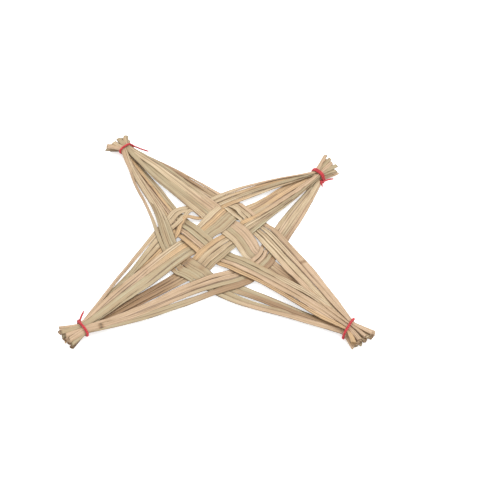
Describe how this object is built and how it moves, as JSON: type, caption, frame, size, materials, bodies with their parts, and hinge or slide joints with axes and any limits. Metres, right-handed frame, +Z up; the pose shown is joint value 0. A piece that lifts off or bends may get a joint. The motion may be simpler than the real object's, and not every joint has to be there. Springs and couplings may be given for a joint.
{
  "type": "straw cross",
  "caption": "Flat woven straw cross with a plaited square middle and arms gathered into bundles that are tied with red thread and end in short brushes.",
  "frame": {"origin": "under the middle of the cross's bounding box, on the plane that it lies on", "axes": "+Z up out of the front face, the first weave direction and its two arms along X, the second along Y"},
  "size_m": [0.23, 0.23, 0.0083],
  "materials": {
    "straw": "dry flattened straw, silky and unvarnished",
    "thread": "twisted cotton thread"
  },
  "bodies": {
    "root": {"row1_straw1": "straw", "row1_straw2": "straw", "row1_straw3": "straw", "row1_straw4": "straw", "row2_straw1": "straw", "row2_straw2": "straw", "row2_straw3": "straw", "row2_straw4": "straw", "row3_straw1": "straw", "row3_straw2": "straw", "row3_straw3": "straw", "row3_straw4": "straw", "row4_straw1": "straw", "row4_straw2": "straw", "row4_straw3": "straw", "row4_straw4": "straw", "column1_straw1": "straw", "column1_straw2": "straw", "column1_straw3": "straw", "column1_straw4": "straw", "column2_straw1": "straw", "column2_straw2": "straw", "column2_straw3": "straw", "column2_straw4": "straw", "column3_straw1": "straw", "column3_straw2": "straw", "column3_straw3": "straw", "column3_straw4": "straw", "column4_straw1": "straw", "column4_straw2": "straw", "column4_straw3": "straw", "column4_straw4": "straw", "tie_x_minus": "thread", "tie_x_plus": "thread", "tie_y_minus": "thread", "tie_y_plus": "thread"}
  },
  "joints": []
}
